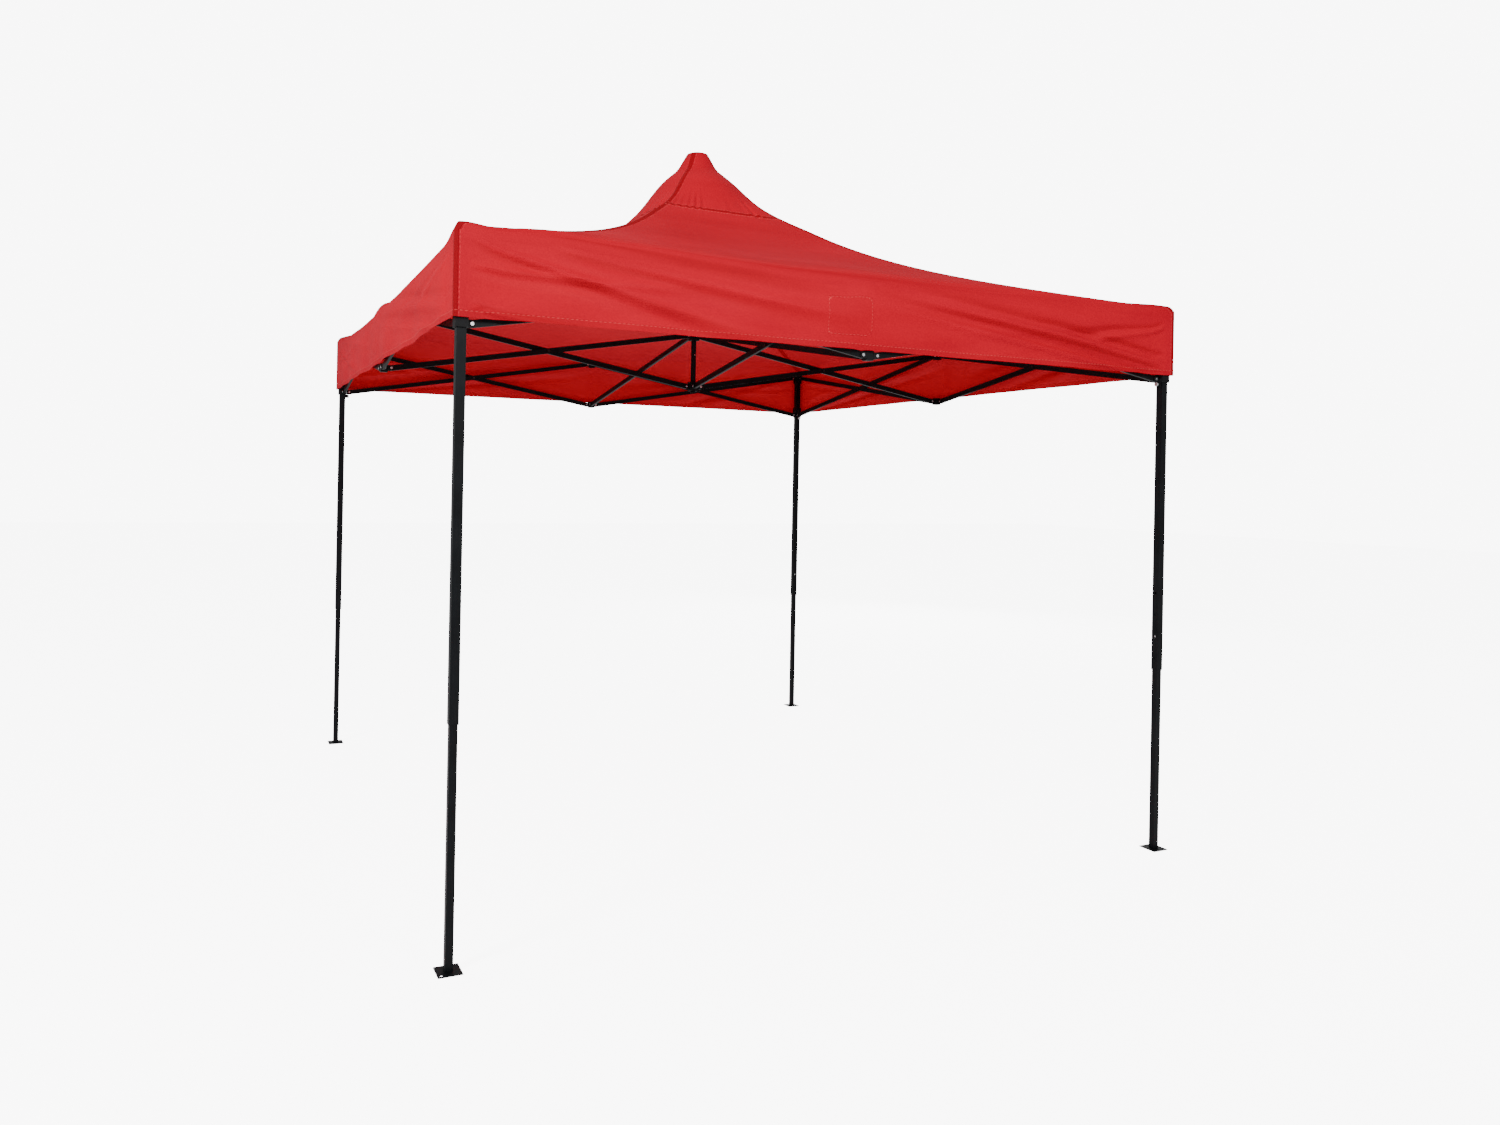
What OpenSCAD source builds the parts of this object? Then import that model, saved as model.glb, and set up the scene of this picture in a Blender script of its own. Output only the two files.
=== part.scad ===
/* [Frame] */
// Distance of each leg's centre from the canopy's centre line, mm
leg_reach = 1470; // [1000:1:2000]
// Height of the pivots at the leg tops and the upper hub, mm
z_top = 2200; // [1900:1:2600]
// Height of the pivots at the sliders and the lower hub with the frame open, mm
z_low = 1955; // [1700:1:2400]
// Pivot distance from a leg's centre or from the hub's centre, mm
pivot_out = 35; // [33:1:45]
// Pivot distance from a side's middle line at the mid brackets, mm
pivot_mid = 30; // [28:1:40]
// Offset of each bar layer from the truss plane, mm
layer = 7; // [7:0.5:9]

/* [Truss bars] */
// Depth of a bar, mm
bar_depth = 24; // [16:1:30]
// Thickness of a bar, mm
bar_thick = 12; // [8:1:12]
// Wall of a bar, mm
bar_wall = 1.2; // [0.8:0.1:2]
// Diameter of a pivot pin, mm
pin_d = 6; // [4:0.5:8]

/* [Legs] */
// Width of the square outer tube, mm
outer_w = 30; // [25:1:40]
// Wall of the outer tube, mm
outer_wall = 1.5; // [1:0.1:2.5]
// Height of the outer tube's lower end, mm
outer_end = 745; // [700:1:750]
// Width of the square inner tube, mm
inner_w = 25; // [20:1:34]
// Wall of the inner tube, mm
inner_wall = 1.2; // [1:0.1:2]
// Length of the inner tube above the foot plate, mm
inner_len = 1010; // [950:1:1100]
// Height of the snap button, mm
button_z = 884; // [860:1:900]
// Spacing of the height holes, mm
hole_pitch = 90; // [60:1:100]
// Diameter of the height holes, mm
hole_d = 10; // [8:0.5:12]

/* [Feet] */
// Width of the square foot plate, mm
foot_w = 76; // [60:1:100]
// Thickness of the foot plate, mm
foot_t = 3; // [2:0.5:5]
// Diameter of the stake hole, mm
stake_d = 10; // [8:0.5:14]
// Distance of the stake hole from the leg's centre, along x and along y, mm
stake_off = 26; // [24:0.5:28]

/* [Brackets] */
// Width of the square collar around a leg and of the hub block, mm
collar_w = 40; // [38:1:44]
// Gap between a sliding collar and the outer tube, each side, mm
collar_gap = 0.5; // [0.3:0.1:1]
// Thickness of a fork ear, mm
ear_t = 3; // [2:0.5:4]
// Gap between a bar and each ear, mm
ear_gap = 0.5; // [0.3:0.1:1]

/* [Peak pole] */
// Diameter of the pole, mm
pole_d = 25; // [20:1:28]
// Height of the pole's lower end, mm
pole_bottom = 1925; // [1900:1:1930]
// Height of the top of the pole's cap, mm
peak_z = 3072; // [2800:1:3300]
// Diameter of the cap, mm
cap_d = 80; // [60:1:90]

/* [Cover] */
// Half width of the cover, mm
cover_half = 1500; // [1495:1:1600]
// Height of the roof's edge, mm
eave_z = 2240; // [2236:1:2300]
// Height of the valance's lower edge, mm
valance_z = 1970; // [1900:1:2100]
// Thickness of the cloth as a plain solid, mm
cloth_t = 2; // [1:0.5:4]

/* [Output] */
// Sub-part to draw, or all of them

/* [Hidden] */
$fn = 48;
span = leg_reach - pivot_out - pivot_mid;
drop = z_top - z_low;
bar_len = sqrt(span * span + drop * drop);
tilt = atan2(drop, span);
play = 0.06;
seat = 0.05;
seam = 0.05;
ear_in = bar_thick / 2 + ear_gap;
ear_out = ear_in + ear_t;
head_r = 5.5;
head_t = 2;
frame_black = [0.12, 0.13, 0.14];
cast_black = [0.09, 0.09, 0.10];
plated = [0.78, 0.79, 0.80];
cloth_red = [0.72, 0.09, 0.09];
// Roof rings from the eave to the peak, as half width and height
rings = [
    [cover_half, eave_z],
    [800, 2460],
    [400, 2682],
    [160, 2916],
    [45, 3080]
];

// A quarter turn about the centre for each side or corner
module turn(k) {
    rotate([0, 0, 90 * k]) children();
}

// Cylinder lying along y, centred
module across(r, h) {
    rotate([90, 0, 0]) cylinder(r = r, h = h, center = true);
}

// Square tube standing on z0
module square_tube(w, wall, z0, z1) {
    difference() {
        translate([-w / 2, -w / 2, z0]) cube([w, w, z1 - z0]);
        translate([-w / 2 + wall, -w / 2 + wall, z0 - 1]) cube([w - 2 * wall, w - 2 * wall, z1 - z0 + 2]);
    }
}

// Truss bar: rectangular tube with rounded ends, pivot holes at both ends and the middle
module bar() {
    difference() {
        union() {
            translate([0, -bar_thick / 2, -bar_depth / 2]) cube([bar_len, bar_thick, bar_depth]);
            across(bar_depth / 2, bar_thick);
            translate([bar_len, 0, 0]) across(bar_depth / 2, bar_thick);
        }
        translate([-bar_depth, -bar_thick / 2 + bar_wall, -bar_depth / 2 + bar_wall])
            cube([bar_len + 2 * bar_depth, bar_thick - 2 * bar_wall, bar_depth - 2 * bar_wall]);
        across(pin_d / 2 + play, bar_thick + 2);
        translate([bar_len, 0, 0]) across(pin_d / 2 + play, bar_thick + 2);
        translate([bar_len / 2, 0, 0]) across(pin_d / 2 + play, bar_thick + 2);
    }
}

// Rivet through the two crossing bars, with a washer between them; it starts at y = 0 and runs to +y
module rivet() {
    gap = 2 * layer - bar_thick;
    reach = 2 * bar_thick + gap + 0.3;
    translate([0, reach / 2, 0]) across(pin_d / 2, reach);
    translate([0, -seat, 0]) across(pin_d / 2, 3 * seat);
    translate([0, -seat - head_t / 2, 0]) across(head_r, head_t);
    translate([0, reach + head_t / 2, 0]) across(head_r, head_t);
    translate([0, bar_thick + seat + (gap - 0.35) / 2, 0]) across(bar_depth / 2 - 3, gap - 0.35);
}

// Two ears of a fork; the pivot is the origin and the block lies towards -x
module ears(root) {
    for (s = [-1, 1]) translate([0, s * (ear_in + ear_t / 2), 0]) difference() {
        union() {
            across(bar_depth / 2, ear_t);
            translate([-root, -ear_t / 2, -bar_depth / 2]) cube([root, ear_t, bar_depth]);
        }
        across(pin_d / 2 + play, ear_t + 2);
    }
}

// Headed pin of a fork
module fork_pin() {
    color(plated) {
        across(pin_d / 2, 2 * ear_out + 2);
        for (s = [-1, 1]) translate([0, s * (ear_out + seat + head_t / 2), 0]) across(head_r, head_t);
    }
}

// Places its children at a corner's two fork pivots on layer y
module corner_forks(z, y) {
    translate([-leg_reach + pivot_out, -leg_reach + y, z]) children();
    translate([-leg_reach + y, -leg_reach + pivot_out, z]) rotate([0, 0, 90]) children();
}

// Centre hub at height z with its four forks on layer x
module hub(z, x) {
    color(cast_black) difference() {
        union() {
            translate([-collar_w / 2, -collar_w / 2, z - 22]) cube([collar_w, collar_w, 44]);
            for (k = [0:3]) turn(k) translate([x, -pivot_out, z]) rotate([0, 0, -90]) ears(pivot_out - 18);
        }
        translate([0, 0, z]) cylinder(r = pole_d / 2 + play, h = 60, center = true);
    }
    for (k = [0:3]) turn(k) translate([x, -pivot_out, z]) rotate([0, 0, -90]) fork_pin();
}

// Centre pole: tube, cap and cross pin
module pole() {
    z_tube = peak_z - 18;
    color(frame_black) difference() {
        translate([0, 0, pole_bottom]) cylinder(d = pole_d, h = z_tube - pole_bottom);
        translate([0, 0, pole_bottom - 1]) cylinder(d = pole_d - 3, h = z_tube - pole_bottom + 2);
        translate([0, 0, 2109]) across(3.02, pole_d + 4);
    }
    color(cast_black) {
        translate([0, 0, z_tube + seat]) rotate_extrude($fn = 64) intersection() {
            translate([0, 18 - seat - 60]) circle(r = 60);
            square([cap_d / 2, 18]);
        }
        translate([0, 0, z_tube - 30]) cylinder(d = pole_d - 3.1, h = 31);
    }
    color(plated) translate([0, 0, 2109]) across(3, pole_d + 3);
}

// Middle bracket of a side at height z; y is the layer of the side bars
module mid_bracket(z, y) {
    color(cast_black) {
        translate([-15, -leg_reach - 15, z - 18]) cube([30, 30, 36]);
        for (s = [0, 1]) mirror([s, 0, 0]) translate([pivot_mid, -leg_reach + y, z]) ears(pivot_mid - 14);
        translate([-y, -leg_reach + pivot_mid, z]) rotate([0, 0, 90]) ears(pivot_mid - 14);
    }
    for (s = [0, 1]) mirror([s, 0, 0]) translate([pivot_mid, -leg_reach + y, z]) fork_pin();
    translate([-y, -leg_reach + pivot_mid, z]) rotate([0, 0, 90]) fork_pin();
}

// Side bar from the leg top on the left, outer layer, with the crossing rivet
module side_bar_top() {
    translate([-leg_reach + pivot_out, -leg_reach - layer, z_top]) rotate([0, tilt, 0]) {
        color(frame_black) bar();
        color(plated) translate([bar_len / 2, -bar_thick / 2, 0]) rivet();
    }
}

// Side bar from the slider on the left, inner layer
module side_bar_slider() {
    color(frame_black) translate([-leg_reach + pivot_out, -leg_reach + layer, z_low])
        rotate([0, -tilt, 0]) bar();
}

// Inner bar from the upper hub out to the lower bracket, with the crossing rivet
module inner_bar_upper() {
    translate([layer, -pivot_out, z_top]) rotate([0, 0, -90]) rotate([0, tilt, 0]) {
        color(frame_black) bar();
        color(plated) translate([bar_len / 2, bar_thick / 2, 0]) mirror([0, 1, 0]) rivet();
    }
}

// Inner bar from the lower hub out to the upper bracket
module inner_bar_lower() {
    color(frame_black) translate([-layer, -pivot_out, z_low])
        rotate([0, 0, -90]) rotate([0, -tilt, 0]) bar();
}

// One long wall of the outer leg tube, mitred at both edges
module leg_wall() {
    outside = outer_w / 2;
    inside = outside - outer_wall;
    translate([0, 0, outer_end]) linear_extrude(z_top + 14 - outer_end) polygon([
        [seam - outside, outside], [outside - seam, outside], [inside - seam, inside], [seam - inside, inside],
    ]);
}

// Outer leg tube: four walls that meet at their mitred edges, height holes in the inward one
module outer_leg() {
    color(frame_black) translate([-leg_reach, -leg_reach, 0]) {
        difference() {
            leg_wall();
            for (n = [-1:2]) translate([0, outer_w / 2, button_z + n * hole_pitch]) across(hole_d / 2, 6);
        }
        for (turn = [90, 180, 270]) rotate([0, 0, turn]) leg_wall();
    }
}

// Cap bracket on the leg top
module leg_top() {
    color(cast_black) {
        difference() {
            translate([-leg_reach - collar_w / 2, -leg_reach - collar_w / 2, z_top - 32])
                cube([collar_w, collar_w, 62]);
            translate([-leg_reach - outer_w / 2 - 0.05, -leg_reach - outer_w / 2 - 0.05, z_top - 40])
                cube([outer_w + 0.1, outer_w + 0.1, 54.05]);
        }
        corner_forks(z_top, -layer) ears(pivot_out - 19);
    }
    corner_forks(z_top, -layer) fork_pin();
}

// Sliding collar; a tongue below the bars carries the boss of its pull pin
module slider() {
    bore = outer_w / 2 + collar_gap;
    color(cast_black) {
        difference() {
            union() {
                translate([-leg_reach - collar_w / 2, -leg_reach - collar_w / 2, z_low - 14])
                    cube([collar_w, collar_w, 62]);
                translate([-leg_reach - 11, -leg_reach, z_low - 32]) cube([22, collar_w / 2, 20]);
                translate([-leg_reach, -leg_reach + 24, z_low - 22]) across(8.5, 8);
            }
            translate([-leg_reach - bore, -leg_reach - bore, z_low - 40]) cube([2 * bore, 2 * bore, 100]);
            translate([-leg_reach, -leg_reach + 22, z_low - 22]) across(5 + play, 16);
        }
        corner_forks(z_low, layer) ears(pivot_out - 19);
    }
    corner_forks(z_low, layer) fork_pin();
}

// Pull pin: shank in the slider's boss and a knob outside it
module slider_pin() {
    color(plated) translate([-leg_reach, -leg_reach, z_low - 22]) rotate([-90, 0, 0]) rotate_extrude()
        polygon([[0, 15.3], [4.4, 15.3], [5, 15.9], [5, 28.4], [8, 28.4], [8.5, 29], [8.5, 34], [7.5, 35], [0, 35]]);
}

// Inner leg tube welded to its foot plate
module lower_leg() {
    color(frame_black) translate([-leg_reach, -leg_reach, 0]) difference() {
        union() {
            translate([-foot_w / 2, -foot_w / 2, 0]) cube([foot_w, foot_w, foot_t]);
            square_tube(inner_w, inner_wall, foot_t - 0.5, foot_t + inner_len);
        }
        translate([-stake_off, -stake_off, -1]) cylinder(d = stake_d, h = foot_t + 2);
        translate([0, inner_w / 2, button_z]) across(4.5 + play, 6);
    }
}

// Snap button carried by the inner tube
module leg_button() {
    color(plated) translate([-leg_reach, -leg_reach, button_z]) rotate([-90, 0, 0]) rotate_extrude()
        polygon([[0, 4], [6, 4], [6, 5.5], [4.5, 5.5], [4.5, 12.5], [4.1, 13], [3.2, 13.2], [0, 13.3]]);
}

// One plane slab of the front roof panel, between two rings given as half width and height
module slab(low, high) {
    slope = (high[1] - low[1]) / (low[0] - high[0]);
    ends = [[low[0] - seam, low[1] + slope * seam], [high[0] + seam, high[1] - slope * seam]];
    corners = [
        for (dz = [-cloth_t, 0]) for (p = ends) for (s = [-1, 1]) [s * (p[0] - seam), -p[0], p[1] + dz]
    ];
    polyhedron(
        points = corners,
        faces = [[0, 1, 3, 2], [4, 6, 7, 5], [0, 4, 5, 1], [1, 5, 7, 3], [3, 7, 6, 2], [2, 6, 4, 0]]
    );
}

// One side's hanging valance, mitred at the corners
module valance() {
    outer = cover_half;
    inner = cover_half - cloth_t;
    top = eave_z - cloth_t - seam;
    corners = [
        for (z = [valance_z, top]) for (w = [outer, inner]) for (s = [-1, 1]) [s * (w - seam), -w, z]
    ];
    polyhedron(
        points = corners,
        faces = [[0, 1, 3, 2], [4, 6, 7, 5], [0, 4, 5, 1], [1, 5, 7, 3], [3, 7, 6, 2], [2, 6, 4, 0]]
    );
}

// The cover: four sides of roof slabs and valance, closed by a flat top at the peak; the
// slabs meet at seams
module cover() {
    top = rings[len(rings) - 1];
    color(cloth_red) {
        for (k = [0:3]) turn(k) {
            for (n = [0:len(rings) - 2]) slab(rings[n], rings[n + 1]);
            valance();
        }
        translate([-top[0], -top[0], top[1] + seam]) cube([2 * top[0], 2 * top[0], cloth_t]);
    }
}

// Roof cloth and hanging valance in one sewn piece
module canopy_cover() {
    cover();
}

// Upper centre hub, holds the four inner bars and guides the peak pole
module hub_upper() {
    hub(z_top, layer);
}

// Lower centre hub, slides down the pole as the frame folds
module hub_lower() {
    hub(z_low, -layer);
}

// Centre pole with its rounded cap and cross pin
module peak_pole() {
    pole();
}

// Upper bracket at the middle of the front side
module front_mid_upper() {
    turn(0) mid_bracket(z_top, layer);
}

// Lower bracket at the middle of the front side
module front_mid_lower() {
    turn(0) mid_bracket(z_low, -layer);
}

// Upper bracket at the middle of the right side
module right_mid_upper() {
    turn(1) mid_bracket(z_top, layer);
}

// Lower bracket at the middle of the right side
module right_mid_lower() {
    turn(1) mid_bracket(z_low, -layer);
}

// Upper bracket at the middle of the back side
module back_mid_upper() {
    turn(2) mid_bracket(z_top, layer);
}

// Lower bracket at the middle of the back side
module back_mid_lower() {
    turn(2) mid_bracket(z_low, -layer);
}

// Upper bracket at the middle of the left side
module left_mid_upper() {
    turn(3) mid_bracket(z_top, layer);
}

// Lower bracket at the middle of the left side
module left_mid_lower() {
    turn(3) mid_bracket(z_low, -layer);
}

// Front side, bar from the left leg top down to the middle
module front_bar_top_left() {
    turn(0) side_bar_top();
}

// Front side, bar from the left slider up to the middle
module front_bar_slider_left() {
    turn(0) side_bar_slider();
}

// Front side, bar from the right leg top down to the middle
module front_bar_top_right() {
    turn(0) mirror([1, 0, 0]) side_bar_top();
}

// Front side, bar from the right slider up to the middle
module front_bar_slider_right() {
    turn(0) mirror([1, 0, 0]) side_bar_slider();
}

// Front inner truss, bar from the upper hub down to the lower bracket
module front_inner_bar_upper() {
    turn(0) inner_bar_upper();
}

// Front inner truss, bar from the lower hub up to the upper bracket
module front_inner_bar_lower() {
    turn(0) inner_bar_lower();
}

// Right side, bar from the left leg top down to the middle
module right_bar_top_left() {
    turn(1) side_bar_top();
}

// Right side, bar from the left slider up to the middle
module right_bar_slider_left() {
    turn(1) side_bar_slider();
}

// Right side, bar from the right leg top down to the middle
module right_bar_top_right() {
    turn(1) mirror([1, 0, 0]) side_bar_top();
}

// Right side, bar from the right slider up to the middle
module right_bar_slider_right() {
    turn(1) mirror([1, 0, 0]) side_bar_slider();
}

// Right inner truss, bar from the upper hub down to the lower bracket
module right_inner_bar_upper() {
    turn(1) inner_bar_upper();
}

// Right inner truss, bar from the lower hub up to the upper bracket
module right_inner_bar_lower() {
    turn(1) inner_bar_lower();
}

// Back side, bar from the left leg top down to the middle
module back_bar_top_left() {
    turn(2) side_bar_top();
}

// Back side, bar from the left slider up to the middle
module back_bar_slider_left() {
    turn(2) side_bar_slider();
}

// Back side, bar from the right leg top down to the middle
module back_bar_top_right() {
    turn(2) mirror([1, 0, 0]) side_bar_top();
}

// Back side, bar from the right slider up to the middle
module back_bar_slider_right() {
    turn(2) mirror([1, 0, 0]) side_bar_slider();
}

// Back inner truss, bar from the upper hub down to the lower bracket
module back_inner_bar_upper() {
    turn(2) inner_bar_upper();
}

// Back inner truss, bar from the lower hub up to the upper bracket
module back_inner_bar_lower() {
    turn(2) inner_bar_lower();
}

// Left side, bar from the left leg top down to the middle
module left_bar_top_left() {
    turn(3) side_bar_top();
}

// Left side, bar from the left slider up to the middle
module left_bar_slider_left() {
    turn(3) side_bar_slider();
}

// Left side, bar from the right leg top down to the middle
module left_bar_top_right() {
    turn(3) mirror([1, 0, 0]) side_bar_top();
}

// Left side, bar from the right slider up to the middle
module left_bar_slider_right() {
    turn(3) mirror([1, 0, 0]) side_bar_slider();
}

// Left inner truss, bar from the upper hub down to the lower bracket
module left_inner_bar_upper() {
    turn(3) inner_bar_upper();
}

// Left inner truss, bar from the lower hub up to the upper bracket
module left_inner_bar_lower() {
    turn(3) inner_bar_lower();
}

// Outer tube of the front left leg, with its height holes
module front_left_leg() {
    turn(0) outer_leg();
}

// Cap bracket on the front left leg, with forks and pins for two bars
module front_left_leg_top() {
    turn(0) leg_top();
}

// Sliding collar on the front left leg, with forks and pins for two bars
module front_left_slider() {
    turn(0) slider();
}

// Spring pull pin that locks the front left slider
module front_left_slider_pin() {
    turn(0) slider_pin();
}

// Inner tube of the front left leg with its welded foot plate
module front_left_lower_leg() {
    turn(0) lower_leg();
}

// Snap button that holds the front left leg at its height
module front_left_leg_button() {
    turn(0) leg_button();
}

// Outer tube of the front right leg, with its height holes
module front_right_leg() {
    turn(1) outer_leg();
}

// Cap bracket on the front right leg, with forks and pins for two bars
module front_right_leg_top() {
    turn(1) leg_top();
}

// Sliding collar on the front right leg, with forks and pins for two bars
module front_right_slider() {
    turn(1) slider();
}

// Spring pull pin that locks the front right slider
module front_right_slider_pin() {
    turn(1) slider_pin();
}

// Inner tube of the front right leg with its welded foot plate
module front_right_lower_leg() {
    turn(1) lower_leg();
}

// Snap button that holds the front right leg at its height
module front_right_leg_button() {
    turn(1) leg_button();
}

// Outer tube of the back right leg, with its height holes
module back_right_leg() {
    turn(2) outer_leg();
}

// Cap bracket on the back right leg, with forks and pins for two bars
module back_right_leg_top() {
    turn(2) leg_top();
}

// Sliding collar on the back right leg, with forks and pins for two bars
module back_right_slider() {
    turn(2) slider();
}

// Spring pull pin that locks the back right slider
module back_right_slider_pin() {
    turn(2) slider_pin();
}

// Inner tube of the back right leg with its welded foot plate
module back_right_lower_leg() {
    turn(2) lower_leg();
}

// Snap button that holds the back right leg at its height
module back_right_leg_button() {
    turn(2) leg_button();
}

// Outer tube of the back left leg, with its height holes
module back_left_leg() {
    turn(3) outer_leg();
}

// Cap bracket on the back left leg, with forks and pins for two bars
module back_left_leg_top() {
    turn(3) leg_top();
}

// Sliding collar on the back left leg, with forks and pins for two bars
module back_left_slider() {
    turn(3) slider();
}

// Spring pull pin that locks the back left slider
module back_left_slider_pin() {
    turn(3) slider_pin();
}

// Inner tube of the back left leg with its welded foot plate
module back_left_lower_leg() {
    turn(3) lower_leg();
}

// Snap button that holds the back left leg at its height
module back_left_leg_button() {
    turn(3) leg_button();
}

canopy_cover();
hub_upper();
hub_lower();
peak_pole();
front_mid_upper();
front_mid_lower();
right_mid_upper();
right_mid_lower();
back_mid_upper();
back_mid_lower();
left_mid_upper();
left_mid_lower();
front_bar_top_left();
front_bar_slider_left();
front_bar_top_right();
front_bar_slider_right();
front_inner_bar_upper();
front_inner_bar_lower();
right_bar_top_left();
right_bar_slider_left();
right_bar_top_right();
right_bar_slider_right();
right_inner_bar_upper();
right_inner_bar_lower();
back_bar_top_left();
back_bar_slider_left();
back_bar_top_right();
back_bar_slider_right();
back_inner_bar_upper();
back_inner_bar_lower();
left_bar_top_left();
left_bar_slider_left();
left_bar_top_right();
left_bar_slider_right();
left_inner_bar_upper();
left_inner_bar_lower();
front_left_leg();
front_left_leg_top();
front_left_slider();
front_left_slider_pin();
front_left_lower_leg();
front_left_leg_button();
front_right_leg();
front_right_leg_top();
front_right_slider();
front_right_slider_pin();
front_right_lower_leg();
front_right_leg_button();
back_right_leg();
back_right_leg_top();
back_right_slider();
back_right_slider_pin();
back_right_lower_leg();
back_right_leg_button();
back_left_leg();
back_left_leg_top();
back_left_slider();
back_left_slider_pin();
back_left_lower_leg();
back_left_leg_button();
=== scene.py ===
import bpy
import math
import numpy as np
from mathutils import Matrix, Vector


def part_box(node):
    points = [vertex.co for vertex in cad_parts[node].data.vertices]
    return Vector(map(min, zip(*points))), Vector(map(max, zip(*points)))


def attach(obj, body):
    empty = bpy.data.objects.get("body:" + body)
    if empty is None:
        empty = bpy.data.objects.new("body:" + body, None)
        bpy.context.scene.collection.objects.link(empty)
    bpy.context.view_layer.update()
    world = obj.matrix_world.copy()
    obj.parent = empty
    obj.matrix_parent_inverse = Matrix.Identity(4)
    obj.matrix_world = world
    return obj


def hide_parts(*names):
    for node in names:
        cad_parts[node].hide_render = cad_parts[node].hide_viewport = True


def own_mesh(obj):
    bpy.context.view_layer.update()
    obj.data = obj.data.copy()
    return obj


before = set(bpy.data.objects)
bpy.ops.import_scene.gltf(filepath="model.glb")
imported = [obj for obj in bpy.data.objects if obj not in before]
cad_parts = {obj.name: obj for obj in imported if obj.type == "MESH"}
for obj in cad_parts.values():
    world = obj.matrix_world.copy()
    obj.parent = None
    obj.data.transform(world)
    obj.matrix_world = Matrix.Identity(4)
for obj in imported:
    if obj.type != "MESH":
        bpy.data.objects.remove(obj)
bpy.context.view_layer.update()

# ---------------------------------------------------------------- the cloth's own sizes, in metres
# Half width of the square seam below the peak, and of the crown piece over the pole's cap
RING = 0.31
CROWN = 0.08
# How far the roof's edge lies above the leg-top brackets
ABOVE_BRACKET = 0.012
# Gores on each side of the roof, and columns of faces in each
GORES = 16
FINE = 8

# ---------------------------------------------------------------- sizes read from the frame
SIDES = ["front", "right", "back", "left"]
cover_lo, cover_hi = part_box("canopy_cover")
HALF = float(cover_hi[0])
PEAK = float(cover_hi[2])
HEM = float(cover_lo[2])
EAVE = float(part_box("front_left_leg_top")[1][2]) + ABOVE_BRACKET


# ---------------------------------------------------------------- material helpers
def new_material(name):
    m = bpy.data.materials.new(name)
    m.use_nodes = True
    m.node_tree.nodes.clear()
    return m, m.node_tree.nodes, m.node_tree.links


def node(nodes, kind, **values):
    n = nodes.new(kind)
    for key, value in values.items():
        setattr(n, key, value)
    return n


def noise(nodes, links, coord, scale, detail=3.0, rough=0.55, stretch=None):
    n = node(nodes, "ShaderNodeTexNoise")
    n.inputs["Scale"].default_value = scale
    n.inputs["Detail"].default_value = detail
    n.inputs["Roughness"].default_value = rough
    if stretch:
        mp = node(nodes, "ShaderNodeMapping")
        mp.inputs["Scale"].default_value = stretch
        links.new(coord, mp.inputs["Vector"])
        coord = mp.outputs["Vector"]
    links.new(coord, n.inputs["Vector"])
    return n.outputs["Fac"]


def ramp(nodes, links, fac, stops):
    r = node(nodes, "ShaderNodeValToRGB")
    r.color_ramp.elements[0].position, r.color_ramp.elements[0].color = stops[0]
    r.color_ramp.elements[1].position, r.color_ramp.elements[1].color = stops[1]
    for p, c in stops[2:]:
        e = r.color_ramp.elements.new(p)
        e.color = c
    links.new(fac, r.inputs["Fac"])
    return r.outputs["Color"]


def bump(nodes, links, height, strength, distance, normal=None):
    b = node(nodes, "ShaderNodeBump")
    b.inputs["Strength"].default_value = strength
    b.inputs["Distance"].default_value = distance
    links.new(height, b.inputs["Height"])
    if normal is not None:
        links.new(normal, b.inputs["Normal"])
    return b.outputs["Normal"]


def principled(nodes, links, **values):
    p = node(nodes, "ShaderNodeBsdfPrincipled")
    for key, value in values.items():
        p.inputs[key.replace("_", " ")].default_value = value
    out = node(nodes, "ShaderNodeOutputMaterial")
    links.new(p.outputs["BSDF"], out.inputs["Surface"])
    return p, out


def attribute(nodes, name):
    return node(nodes, "ShaderNodeAttribute", attribute_type="GEOMETRY", attribute_name=name).outputs["Fac"]


def band(nodes, links, value, low, high, soft):
    """1 where value lies between low and high, fading over soft."""
    out = None
    for edge, sign in ((low, 1), (high, -1)):
        if edge is None:
            continue
        r = node(nodes, "ShaderNodeMapRange", interpolation_type="SMOOTHSTEP")
        r.inputs["From Min"].default_value = edge - soft * sign
        r.inputs["From Max"].default_value = edge + soft * sign
        links.new(value, r.inputs["Value"])
        if out is None:
            out = r.outputs["Result"]
        else:
            m = node(nodes, "ShaderNodeMath", operation="MULTIPLY")
            links.new(out, m.inputs[0])
            links.new(r.outputs["Result"], m.inputs[1])
            out = m.outputs["Value"]
    return out


def maths(nodes, links, operation, a, b):
    m = node(nodes, "ShaderNodeMath", operation=operation)
    for i, x in enumerate((a, b)):
        if isinstance(x, (int, float)):
            m.inputs[i].default_value = x
        else:
            links.new(x, m.inputs[i])
    return m.outputs["Value"]


def mixed(nodes, links, factor, a, b):
    m = node(nodes, "ShaderNodeMix", data_type="RGBA")
    for key, x in (("Factor", factor), ("A", a), ("B", b)):
        if isinstance(x, (tuple, float)):
            m.inputs[key].default_value = x
        else:
            links.new(x, m.inputs[key])
    return m.outputs["Result"]


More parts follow.
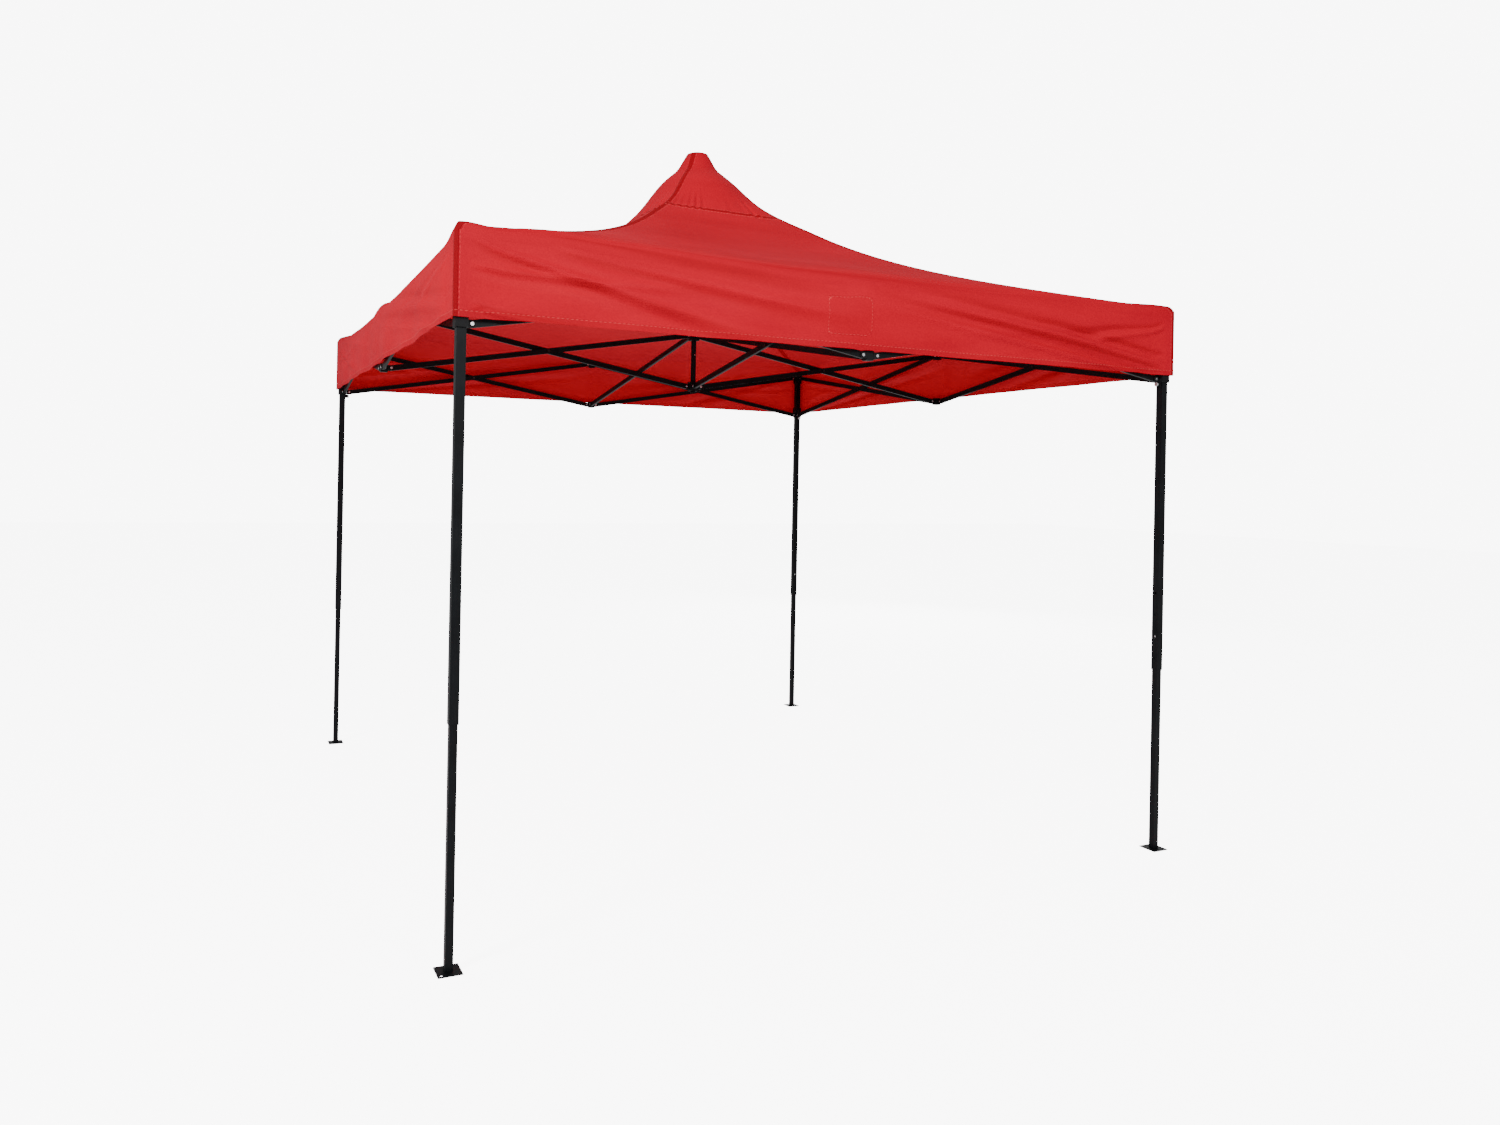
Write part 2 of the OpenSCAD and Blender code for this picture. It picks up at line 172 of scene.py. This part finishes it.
def cloth_material(name):
    """Coated red polyester with streaks, creases, weave, seams, hem and patch; the seam tapes and the
    valleys of the pulled folds carry painted shade; the underside is duller.
    """
    m, n, l = new_material(name)
    uv = node(n, "ShaderNodeTexCoord").outputs["UV"]
    streak = noise(n, l, uv, 1.6, 4.0, 0.55, (0.45, 2.2, 1.0))
    blotch = noise(n, l, uv, 1.1, 3.0, 0.5)
    face = ramp(n, l, streak, [
        (0.34, (0.41, 0.0016, 0.0135, 1)),
        (0.66, (0.51, 0.0032, 0.0190, 1)),
    ])
    under = ramp(n, l, blotch, [
        (0.30, (0.50, 0.0150, 0.0280, 1)),
        (0.75, (0.66, 0.0200, 0.0360, 1)),
    ])
    seam = attribute(n, "seam_m")
    hem = attribute(n, "hem_m")
    ring = attribute(n, "ring_m")
    patch = attribute(n, "patch_m")
    # The seam tapes are a deeper red of their own and are painted darker still, as painted shade along the
    # seams.
    seam_line_tape_and_shade, ring_tape = band(n, l, seam, None, 0.013, 0.0020), band(n, l, ring, None, 0.008, 0.0015)
    tapes_and_seam_shade = maths(n, l, "MAXIMUM", seam_line_tape_and_shade, ring_tape)
    fold = band(n, l, hem, None, 0.022, 0.001)
    sewn = band(n, l, seam, 0.0160, 0.0175, 0.0006)
    for mark, low, high in ((ring, 0.0095, 0.0110), (hem, 0.0185, 0.0205), (patch, 0.0030, 0.0048)):
        sewn = maths(n, l, "MAXIMUM", sewn, band(n, l, mark, low, high, 0.0006))
    steps = node(n, "ShaderNodeTexWave", wave_type="BANDS", bands_direction="DIAGONAL")
    steps.inputs["Scale"].default_value = 40.0
    l.new(uv, steps.inputs["Vector"])
    stitch = maths(n, l, "MULTIPLY", sewn, steps.outputs["Fac"])
    inset = band(n, l, patch, 0.0, 9.0, 0.0004)
    # Darkened: the seam tapes, partly their own colour and partly painted shade, and a little the hem's fold
    # and the patch.
    dark = maths(n, l, "MULTIPLY", maths(n, l, "MAXIMUM", tapes_and_seam_shade, maths(n, l, "MULTIPLY", fold, 0.25)), 0.95)
    dark = maths(n, l, "MAXIMUM", dark, maths(n, l, "MULTIPLY", inset, 0.06))
    face = mixed(n, l, dark, face, (0.25, 0.001, 0.006, 1.0))
    face = mixed(n, l, stitch, face, (0.68, 0.055, 0.060, 1.0))
    under = mixed(n, l, dark, under, (0.30, 0.004, 0.010, 1.0))
    # Painted shade: the face is darkened in the valleys of the pulled folds, where fold_m goes below zero.
    fold_valley_shade = node(n, "ShaderNodeMapRange")
    fold_valley_shade.inputs["From Max"].default_value = -0.0065
    fold_valley_shade.inputs["To Max"].default_value = 0.50
    l.new(attribute(n, "fold_m"), fold_valley_shade.inputs["Value"])
    face = mixed(n, l, fold_valley_shade.outputs["Result"], face, (0.26, 0.002, 0.006, 1.0))
    geo = node(n, "ShaderNodeNewGeometry")
    colour = mixed(n, l, geo.outputs["Backfacing"], face, under)
    p, out = principled(n, l, Roughness=0.5)
    p.inputs["Specular IOR Level"].default_value = 0.05
    l.new(colour, p.inputs["Base Color"])
    rough = node(n, "ShaderNodeMapRange")
    rough.inputs["To Min"].default_value = 0.42
    rough.inputs["To Max"].default_value = 0.62
    l.new(blotch, rough.inputs["Value"])
    l.new(rough.outputs["Result"], p.inputs["Roughness"])
    threads = node(n, "ShaderNodeMapping")
    threads.inputs["Scale"].default_value = (1200.0, 1200.0, 1.0)
    l.new(uv, threads.inputs["Vector"])
    waves = []
    for direction in ("X", "Y"):
        w = node(n, "ShaderNodeTexWave", wave_type="BANDS", bands_direction=direction)
        w.inputs["Scale"].default_value = 0.32
        l.new(threads.outputs["Vector"], w.inputs["Vector"])
        waves.append(w.outputs["Fac"])
    fine = bump(n, l, maths(n, l, "MULTIPLY", waves[0], waves[1]), 0.12, 0.0002)
    crease = noise(n, l, uv, 3.4, 5.0, 0.55, (0.6, 1.6, 1.0))
    soft = bump(n, l, crease, 0.30, 0.010, fine)
    relief = maths(n, l, "ADD", maths(n, l, "MULTIPLY", tapes_and_seam_shade, 0.0012), maths(n, l, "MULTIPLY", fold, 0.0008))
    relief = maths(n, l, "ADD", relief, maths(n, l, "MULTIPLY", inset, 0.0008))
    relief = maths(n, l, "SUBTRACT", relief, maths(n, l, "MULTIPLY", sewn, 0.0005))
    raised = bump(n, l, relief, 1.0, 1.0, soft)
    l.new(raised, p.inputs["Normal"])
    trans = node(n, "ShaderNodeBsdfTranslucent")
    trans.inputs["Color"].default_value = (0.80, 0.006, 0.012, 1)
    l.new(raised, trans.inputs["Normal"])
    add = node(n, "ShaderNodeMixShader")
    add.inputs["Fac"].default_value = 0.16
    l.new(p.outputs["BSDF"], add.inputs[1])
    l.new(trans.outputs["BSDF"], add.inputs[2])
    l.new(add.outputs["Shader"], out.inputs["Surface"])
    return m


def frame_material():
    m, n, l = new_material("powder_coat")
    coord = node(n, "ShaderNodeTexCoord").outputs["Object"]
    base = noise(n, l, coord, 14.0, 4.0)
    colour = ramp(n, l, base, [(0.3, (0.0022, 0.0026, 0.0034, 1)), (0.8, (0.0050, 0.0058, 0.0072, 1))])
    p, _ = principled(n, l, Metallic=0.0)
    p.inputs["Specular IOR Level"].default_value = 0.11
    l.new(colour, p.inputs["Base Color"])
    rough = node(n, "ShaderNodeMapRange")
    rough.inputs["To Min"].default_value = 0.36
    rough.inputs["To Max"].default_value = 0.50
    l.new(noise(n, l, coord, 60.0, 3.0), rough.inputs["Value"])
    l.new(rough.outputs["Result"], p.inputs["Roughness"])
    l.new(bump(n, l, noise(n, l, coord, 420.0, 2.0), 0.10, 0.0002), p.inputs["Normal"])
    return m


def bracket_material():
    m, n, l = new_material("moulded_nylon")
    coord = node(n, "ShaderNodeTexCoord").outputs["Object"]
    colour = ramp(n, l, noise(n, l, coord, 40.0, 4.0), [
        (0.3, (0.0025, 0.0025, 0.0030, 1)), (0.8, (0.0050, 0.0050, 0.0060, 1))])
    p, _ = principled(n, l, Roughness=0.55)
    p.inputs["Specular IOR Level"].default_value = 0.14
    l.new(colour, p.inputs["Base Color"])
    l.new(bump(n, l, noise(n, l, coord, 1400.0, 2.0), 0.35, 0.0002), p.inputs["Normal"])
    return m


def plated_material(name, low, high):
    m, n, l = new_material(name)
    coord = node(n, "ShaderNodeTexCoord").outputs["Object"]
    colour = ramp(n, l, noise(n, l, coord, 300.0, 3.0), [
        (0.3, low), (0.8, high)])
    p, _ = principled(n, l, Metallic=1.0, Roughness=0.36)
    l.new(colour, p.inputs["Base Color"])
    l.new(bump(n, l, noise(n, l, coord, 2500.0, 2.0), 0.15, 0.0001), p.inputs["Normal"])
    return m


CLOTH = cloth_material("red_polyester")
POWDER = frame_material()
NYLON = bracket_material()
ZINC = plated_material("zinc_plate", (0.50, 0.51, 0.52, 1), (0.72, 0.72, 0.73, 1))
DARK_ZINC = plated_material("black_zinc", (0.045, 0.045, 0.048, 1), (0.075, 0.075, 0.080, 1))


# ---------------------------------------------------------------- finish on the CAD nodes
def islands(mesh):
    """A number for each vertex's connected piece; vertices at the same place are one."""
    co = np.empty(len(mesh.vertices) * 3)
    mesh.vertices.foreach_get("co", co)
    key = np.round(co.reshape(-1, 3) * 1e6).astype(np.int64)
    _, same = np.unique(key, axis=0, return_inverse=True)
    same = same.ravel()
    edges = np.empty(len(mesh.edges) * 2, np.int64)
    mesh.edges.foreach_get("vertices", edges)
    a, b = same[edges[0::2]], same[edges[1::2]]
    label = np.arange(same.max() + 1)
    while True:
        low = np.minimum(label[a], label[b])
        new = label.copy()
        np.minimum.at(new, a, low)
        np.minimum.at(new, b, low)
        new = new[new]
        if (new == label).all():
            return label[same], co.reshape(-1, 3)
        label = new


def finish_node(name, main, small=None, limit=0.050):
    """Gives a CAD node its finish; its small separate solids, the pins, get their own."""
    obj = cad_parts[name]
    obj.data.materials.clear()
    obj.data.materials.append(main)
    if small is None:
        return
    obj.data.materials.append(small)
    label, co = islands(obj.data)
    pins = []
    for value in np.unique(label):
        part = co[label == value]
        extent = np.sort(part.max(0) - part.min(0))
        if extent[2] < limit and extent[1] < 0.030 and extent[0] < 0.030:
            pins.append(value)
    pins = np.array(pins)
    for poly in obj.data.polygons:
        poly.material_index = 1 if label[poly.vertices[0]] in pins else 0


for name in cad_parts:
    if name == "canopy_cover":
        continue
    if name.endswith("slider_pin") or name.endswith("leg_button"):
        finish_node(name, ZINC)
    elif "mid_" in name or "hub" in name or name.endswith("leg_top") or name.endswith("slider"):
        finish_node(name, NYLON, ZINC)
    elif name == "peak_pole":
        finish_node(name, POWDER, ZINC, 0.035)
    else:
        finish_node(name, POWDER, DARK_ZINC)


# ---------------------------------------------------------------- the roof's shape
def smooth(x, lo, hi):
    t = np.clip((x - lo) / (hi - lo), 0, 1)
    return t * t * (3 - 2 * t)


def ridge_height(w):
    """Height of the cloth over a square ring of half width w: concave, from the eave to the peak."""
    t = np.clip((HALF - w) / (HALF - 0.045), 0, 1)
    rise = 0.50 * t + 0.50 * t ** 4.2
    dome = 0.046 * (1 - np.clip(w / 0.085, 0, 1) ** 2)
    full = 0.028 * np.exp(-((w - 0.16) / 0.075) ** 2)
    return EAVE + (PEAK - EAVE - 0.034) * rise + dome + full


def creases(r, phi, seed, count, reach):
    """Folds that fan out of a corner, at distance r from it and at phi, from 0 to 1, across the fan."""
    rng = np.random.default_rng(seed)
    total = np.zeros_like(r)
    for _ in range(count):
        at = rng.uniform(0.06, 0.94)
        size = rng.uniform(0.5, 1.0) * (1 if rng.random() < 0.6 else -0.7)
        wide = rng.uniform(0.030, 0.085)
        long = reach * rng.uniform(0.45, 1.1)
        across = np.exp(-((phi - at) / wide) ** 2)
        total += size * across * smooth(r, 0.03, 0.35) * np.exp(-(r / long) ** 2)
    return total


def drags(k, x, a):
    """Long pulled folds, at x along the side and a below the eave: they leave the left corner's top and
    the right corner's foot. Each pull goes from (x0, a0) to (x1, a1)."""
    rng = np.random.default_rng(70 + k)
    total = np.zeros_like(x)

    def pull(x0, a0, x1, a1, wide, height):
        nonlocal total
        x0 += 0.05 * rng.uniform(-1, 1) * (k > 0)
        x1 += 0.12 * rng.uniform(-1, 1) * (k > 0)
        length = math.hypot(x1 - x0, a1 - a0)
        dx, da = (x1 - x0) / length, (a1 - a0) / length
        along = ((x - x0) * dx + (a - a0) * da) / length
        off = (a - a0) * dx - (x - x0) * da + 0.006 * np.sin(3.0 * along + 2 * x0)
        spread = wide * (0.45 + 0.8 * np.clip(along, 0, 1))
        shape = np.exp(-(off / spread) ** 2) - 0.55 * np.exp(-((off - 1.9 * spread) / (1.5 * spread)) ** 2)
        total = total + height * shape * smooth(along, -0.02, 0.08) * (1 - smooth(along, 0.62, 1.04))

    top, foot = HALF - 0.05, EAVE - HEM
    pull(-top, 0.005, -0.38, 0.235, 0.017, 0.0120)
    pull(-top, 0.09, -0.70, 0.08, 0.014, 0.0070)
    pull(-1.20, -0.02, 0.00, 0.12, 0.022, 0.0095)
    pull(-top, 0.21, -1.00, 0.25, 0.014, 0.0075)
    pull(-1.25, -0.14, -0.10, -0.03, 0.030, 0.0090)
    pull(top, foot - 0.01, -0.05, 0.045, 0.016, 0.0145)
    pull(top, foot - 0.07, 0.10, 0.00, 0.018, 0.0120)
    pull(top, 0.055, 0.95, 0.135, 0.014, 0.0100)
    pull(top, 0.19, 0.70, 0.08, 0.013, 0.0080)
    pull(top - 0.10, -0.05, 0.55, -0.15, 0.026, 0.0085)
    return total * (1 - smooth(np.abs(x), HALF - 0.07, HALF - 0.02)) * (1.0 if k < 3 else 0.35)


def wrinkle(k, u, v, w):
    """Height of the cloth's folds: they fan out of the corners and the peak, and the panels ripple."""
    rng = np.random.default_rng(40 + k)
    x, y = w * u, -w
    total = np.zeros_like(u)
    for sign in (-1.0, 1.0):
        dx, dy = (sign * HALF - x) * sign, HALF + y
        r = np.hypot(dx, dy) + 1e-6
        phi = np.arctan2(dy, dx) / (math.pi / 4)
        edge = smooth(phi, 0.0, 0.06) * (1 - smooth(phi, 0.90, 1.0))
        total += (0.0075 if k < 3 else 0.0035) * creases(r, phi, 200 + 10 * k + int(sign), 8, 1.1) * edge
    ph = rng.uniform(0, 6.28, 8)
    inside = 1 - smooth(np.abs(u), 0.80, 1.0)
    near = np.exp(-((w - RING + 0.030) / 0.040) ** 2)
    gather = np.clip(0.35 + np.sin(3.7 * u + ph[5]) * np.sin(9.1 * u + ph[6]), 0, 1)
    total += 0.0055 * near * inside * gather * np.sin(41.0 * u + 3.0 * np.sin(4.3 * u + ph[7]) + ph[0])
    total -= 0.0024 * np.exp(-((w - RING) / 0.012) ** 2) * inside
    spread = smooth(w, 0.30, 0.8) * inside * (1 - smooth(v, 0.90, 1.0))
    total += 0.0045 * spread * (
        np.sin(4.3 * x + 1.6 * y + ph[1]) * np.sin(2.7 * x - 5.1 * y + ph[2])
        + 0.45 * np.sin(8.7 * x - 4.3 * y + ph[3]) * np.sin(4.1 * x + 9.0 * y + ph[4]))
    return total * (1 - smooth(np.abs(u), 0.95, 0.998))


def roof_point(k, u, v):
    """Front side's cloth at u from -1 to 1 along the side and v from 0 at the peak to 1 at the eave."""
    w = HALF * v
    z = ridge_height(w)
    droop = 0.024 * (1 - u ** 2) * smooth(v, 0.55, 1.0)
    corner = 0.010 * smooth(np.abs(u), 0.93, 1.0) * smooth(v, 0.90, 0.975)
    billow = 0.022 * (1 - u ** 2) * smooth(v, 0.05, 0.35) * (1 - smooth(v, 0.5, 0.95))
    z = z - droop - billow + corner + wrinkle(k, u, v, w)
    held = np.maximum(smooth(np.abs(u), 0.90, 0.97), 1 - smooth(np.abs(u), 0.03, 0.09))
    wide = 0.070 - 0.052 * held
    edge = np.clip((w - (HALF - wide)) / wide, 0, 1)
    z = z - (0.030 - 0.010 * held) * edge ** 2
    z = z + 0.0025 * smooth(w * (1 - np.abs(u)), 0.016, 0.004) * smooth(w, 0.05, 0.12)
    round_near = 1 - smooth(w, 0.10, 0.42)
    norm = np.sqrt(1 + u ** 2)
    factor = 1 + round_near * (1.14 / norm - 1)
    pulled = drags(k, w * u, w - HALF) * smooth(w, 0.75, 1.2) * (1 - smooth(np.abs(u), 0.95, 0.998))
    outward = smooth(w, HALF - 0.10, HALF)
    return np.stack([w * u * factor, -w * factor - pulled * outward, z + pulled * (1 - outward)], -1)


def valance_point(k, u, s):
    """Front side's valance at u along the side and s from 0 at the eave to 1 at the hem."""
    top = roof_point(k, u, np.ones_like(u))
    rng = np.random.default_rng(90 + k)
    ph = rng.uniform(0, 6.28, 5)
    depth = top[..., 2] - HEM
    free = 1 - smooth(np.abs(u), 0.90, 1.0)
    wave = free * (0.005 * np.sin(3.1 * np.pi * u + ph[0]) + 0.0030 * np.sin(8.3 * np.pi * u + ph[1]) * s)
    for sign in (-1.0, 1.0):
        dx = HALF * (1 - sign * u)
        dz = depth * s
        r = np.hypot(dx, dz) + 1e-6
        phi = np.arctan2(dz, dx) / 0.30
        wave += 0.0030 * creases(r, phi, 300 + 10 * k + int(sign), 6, 1.4) * smooth(s, 0.0, 0.2) * free
    pulled = drags(k, HALF * u, depth * s) - drags(k, HALF * u, 0 * u)
    bulge = 0.006 * np.sin(np.pi * np.clip(s * 0.8, 0, 1)) * free
    out = wave * smooth(s, 0.0, 0.35) + bulge - 0.006 * smooth(s, 0.3, 1.0) * free
    y = top[..., 1] - out - pulled * (1 - smooth(np.abs(u), 0.95, 0.998))
    x = u * np.where(np.abs(u) > 0.98, -y, HALF)
    return np.stack([x, y, top[..., 2] - depth * s], -1)


def turned(points, k):
    """Points of the front side turned about the centre line onto side k."""
    c, s = [(1, 0), (0, 1), (-1, 0), (0, -1)][k]
    x, y = points[..., 0], points[..., 1]
    return np.stack([c * x - s * y, s * x + c * y, points[..., 2]], -1)


def grid_faces(rows, cols, flip):
    faces = []
    for i in range(rows - 1):
        for j in range(cols - 1):
            a = i * cols + j
            q = (a, a + 1, a + cols + 1, a + cols)
            faces.append(q[::-1] if flip else q)
    return faces


def grid_normals(points):
    du = np.gradient(points, axis=1)
    dv = np.gradient(points, axis=0)
    n = np.cross(du, dv)
    length = np.linalg.norm(n, axis=-1, keepdims=True)
    return n / np.maximum(length, 1e-12)


def make_sheet(name, points, normals, uv, marks):
    """A mesh from a grid of points, with its normals, cloth coordinates and distances to the seams."""
    rows, cols = points.shape[:2]
    mesh = bpy.data.meshes.new(name)
    across, along = points[0, 1] - points[0, 0], points[1, 0] - points[0, 0]
    flip = np.dot(np.cross(across, along), normals[0, 0]) < 0
    corners = [tuple(map(float, p)) for p in points.reshape(-1, 3)]
    mesh.from_pydata(corners, [], grid_faces(rows, cols, flip))
    layer = mesh.uv_layers.new(name="cloth")
    flat = uv.reshape(-1, 2)
    index = np.empty(len(mesh.loops), np.int64)
    mesh.loops.foreach_get("vertex_index", index)
    layer.data.foreach_set("uv", flat[index].astype(np.float32).ravel())
    mesh.polygons.foreach_set("use_smooth", np.ones(len(mesh.polygons), bool))
    mesh.normals_split_custom_set_from_vertices([tuple(map(float, q)) for q in normals.reshape(-1, 3)])
    for key, value in marks.items():
        layer = mesh.attributes.new(key, "FLOAT", "POINT")
        layer.data.foreach_set("value", value.astype(np.float32).ravel())
    mesh.materials.append(CLOTH)
    obj = bpy.data.objects.new(name, mesh)
    bpy.context.scene.collection.objects.link(obj)
    return obj


# ---------------------------------------------------------------- cloth, cut into gores
# Rows from the peak to the eave, and from the eave to the hem
vs = np.concatenate([
    [0.0005, 0.006, 0.012, 0.020], np.linspace(0.03, 0.13, 10)[:-1], np.linspace(0.13, 0.18, 12)[:-1],
    np.linspace(0.18, 0.94, 66)[:-1], np.linspace(0.94, 1.0, 22)])
ss = np.concatenate([
    np.linspace(0, 0.12, 9)[:-1], np.linspace(0.12, 0.90, 22)[:-1], np.linspace(0.90, 1.0, 8)])
# Where the gores are cut along a side: narrower towards the corners
steps = np.linspace(-1, 1, GORES + 1)
cuts = 0.35 * steps + 0.65 * np.sin(steps * math.pi / 2)
# Distances from a ridge of the extra columns beside it
close = np.array([0, 0.003, 0.006, 0.010, 0.015, 0.030])


def side_columns():
    """Columns along a side, even within each gore, with a few extra close to both ridges."""
    even = [np.linspace(a, b, FINE + 1) for a, b in zip(cuts[:-1], cuts[1:])]
    u = np.unique(np.concatenate(even).round(9))
    inner = u[(np.abs(u) < 1 - close[-1] - 0.002)]
    return np.concatenate([-1 + close, inner, (1 - close)[::-1]])


def roof_normals(k, U, V):
    """Normals of the roof that turn smoothly into the valance's over the last part of the cloth."""
    n = grid_normals(roof_point(k, U, V))
    n *= np.sign(n[..., 2:3] + 1e-9)
    outward = np.array([0.0, -1.0, 0.0])
    t = (smooth(V, 0.50, 1.0) * 0.74)[..., None]
    n = n * (1 - t) + outward * t
    return n / np.linalg.norm(n, axis=-1, keepdims=True)


def patch_distance(x, up, wide, low, high):
    """How far inside a sewn patch a point is, in metres; negative outside it."""
    return np.minimum(wide - np.abs(x), np.minimum(up - low, high - up))


def stretched(piece):
    """Hangs a piece of the roof on the peak pole's body."""
    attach(piece, "peak_pole")


def fold_gore(piece, k, g):
    """Gives gore g of side k a mesh of its own; the middle of its eave is worked out but not used."""
    mid_u = (cuts[g] + cuts[g + 1]) / 2
    eave = turned(roof_point(k, np.array([mid_u]), np.array([1.0])), k)[0]
    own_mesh(piece)


def make_roof(k, side):
    """The crown piece and the gores of one side; returns the cloth's length from the peak to the eave."""
    U, V = np.meshgrid(us, vs)
    local = roof_point(k, U, V)
    run = np.linalg.norm(np.diff(local[:, len(us) // 2], axis=0), axis=-1)
    arc = np.concatenate([[0], np.cumsum(run)])
    flat_uv = np.stack([local[..., 0], np.broadcast_to(arc[:, None], U.shape)], -1)
    marks = {
        "seam_m": HALF * V * (1 - np.abs(U)) * 0.75,
        "hem_m": np.full(U.shape, 1.0),
        "ring_m": np.abs(HALF * V - RING),
        "patch_m": np.full(U.shape, -1.0),
        "fold_m": drags(k, local[..., 0], HALF * (V - 1)),
    }
    placed, facing = turned(local, k), turned(roof_normals(k, U, V), k)

    def cut_out(name, cut):
        part = {key: value[cut] for key, value in marks.items()}
        piece = make_sheet(name, placed[cut], facing[cut], flat_uv[cut], part)
        stretched(piece)
        return piece

    crown = int(np.argmin(np.abs(vs - CROWN / HALF)))
    cut_out(f"crown_{side}", slice(0, crown + 1))
    for g in range(GORES):
        first, last = (int(np.argmin(np.abs(us - cuts[i]))) for i in (g, g + 1))
        piece = cut_out(f"roof_{side}_{g + 1:02d}", (slice(crown, None), slice(first, last + 1)))
        fold_gore(piece, k, g)
    return arc[-1]


def make_valance(k, side, roof_length):
    """The hanging strip of one side; its upper edge takes the roof's normals, so that it bends softly."""
    U, S = np.meshgrid(us, ss)
    local = valance_point(k, U, S)
    normals = grid_normals(local)
    normals *= -np.sign(normals[..., 1:2] + 1e-9)
    top_normal = roof_normals(k, *np.meshgrid(us, vs))[-1]
    t = (1 - smooth(S, 0.0, 0.30))[..., None]
    normals = top_normal[None] * t + normals * (1 - t)
    normals /= np.linalg.norm(normals, axis=-1, keepdims=True)
    below = S * (EAVE - HEM)
    flat_uv = np.stack([local[..., 0], roof_length + below], -1)
    marks = {
        "seam_m": HALF * (1 - np.abs(U)),
        "hem_m": local[..., 2] - HEM,
        "ring_m": np.full(U.shape, 1.0),
        "patch_m": patch_distance(local[..., 0] + 0.10, -below, 0.095, -0.215, -0.045),
        "fold_m": drags(k, HALF * U, below),
    }
    piece = make_sheet(f"valance_{side}", turned(local, k), turned(normals, k), flat_uv, marks)
    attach(piece, f"{side}_mid_upper")
    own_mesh(piece)


us = side_columns()
for k, side in enumerate(SIDES):
    make_valance(k, side, make_roof(k, side))
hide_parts("canopy_cover")


# ---------------------------------------------------------------- studio
# Brightness of the floor and the backdrop as the camera sees them; neither lights the canopy
FLOOR_GLOW = 7.6
BACKDROP_GLOW = 8.5


def floor_material():
    m, n, l = new_material("floor_white")
    p, _ = principled(n, l, Roughness=0.9)
    p.inputs["Base Color"].default_value = (0.85, 0.85, 0.85, 1)
    p.inputs["Specular IOR Level"].default_value = 0.1
    p.inputs["Emission Color"].default_value = (1, 1, 1, 1)
    path = n.new("ShaderNodeLightPath")
    glow = maths(n, l, "MULTIPLY", path.outputs["Is Camera Ray"], FLOOR_GLOW)
    l.new(glow, p.inputs["Emission Strength"])
    return m


bpy.ops.mesh.primitive_plane_add(size=60, location=(0, 0, -0.001))
floor = bpy.context.object
floor.name = "floor"
floor.data.materials.append(floor_material())

world = bpy.data.worlds.new("studio")
bpy.context.scene.world = world
world.use_nodes = True
sky, sky_links = world.node_tree.nodes, world.node_tree.links
soft = sky["Background"]
soft.inputs["Color"].default_value = (1, 1, 1, 1)
soft.inputs["Strength"].default_value = 0.50
seen = sky.new("ShaderNodeBackground")
seen.inputs["Color"].default_value = (1, 1, 1, 1)
seen.inputs["Strength"].default_value = BACKDROP_GLOW
path = sky.new("ShaderNodeLightPath")
either = sky.new("ShaderNodeMixShader")
sky_links.new(path.outputs["Is Camera Ray"], either.inputs["Fac"])
sky_links.new(soft.outputs["Background"], either.inputs[1])
sky_links.new(seen.outputs["Background"], either.inputs[2])
sky_links.new(either.outputs["Shader"], sky["World Output"].inputs["Surface"])


def area_light(name, place, target, size, power):
    data = bpy.data.lights.new(name, "AREA")
    data.shape = "DISK"
    data.size = size
    data.energy = power
    obj = bpy.data.objects.new(name, data)
    obj.location = place
    obj.rotation_euler = (Vector(target) - Vector(place)).to_track_quat("-Z", "Y").to_euler()
    bpy.context.scene.collection.objects.link(obj)


area_light("key", (-7.0, -4.2, 4.6), (0, 0, 2.2), 1.6, 760)
area_light("front", (1.0, -8.5, 5.0), (0, 0, 2.0), 2.5, 400)
area_light("back", (6.0, 6.0, 3.2), (0, 0, 2.0), 3.0, 300)

# ---------------------------------------------------------------- camera, at the photo's viewing angle
EYE = (-2.1688, -4.6085, 1.4867)
SENSOR = 36.0
LENS = 25.0608
cam_data = bpy.data.cameras.new("photo_camera")
cam = bpy.data.objects.new("photo_camera", cam_data)
bpy.context.scene.collection.objects.link(cam)
yaw, pitch, roll = math.radians(24.276), math.radians(0.064), math.radians(1.1)
forward = Vector((math.sin(yaw) * math.cos(pitch), math.cos(yaw) * math.cos(pitch), math.sin(pitch)))
right = forward.cross(Vector((0, 0, 1))).normalized()
up = right.cross(forward)
right, up = right * math.cos(roll) + up * math.sin(roll), up * math.cos(roll) - right * math.sin(roll)
rows = [(right[i], up[i], -forward[i], EYE[i]) for i in range(3)]
cam.matrix_world = Matrix(rows + [(0, 0, 0, 1)])
cam_data.sensor_width = SENSOR
cam_data.lens = LENS
cam_data.shift_x = 0.0505
cam_data.shift_y = -0.0542
bpy.context.scene.camera = cam
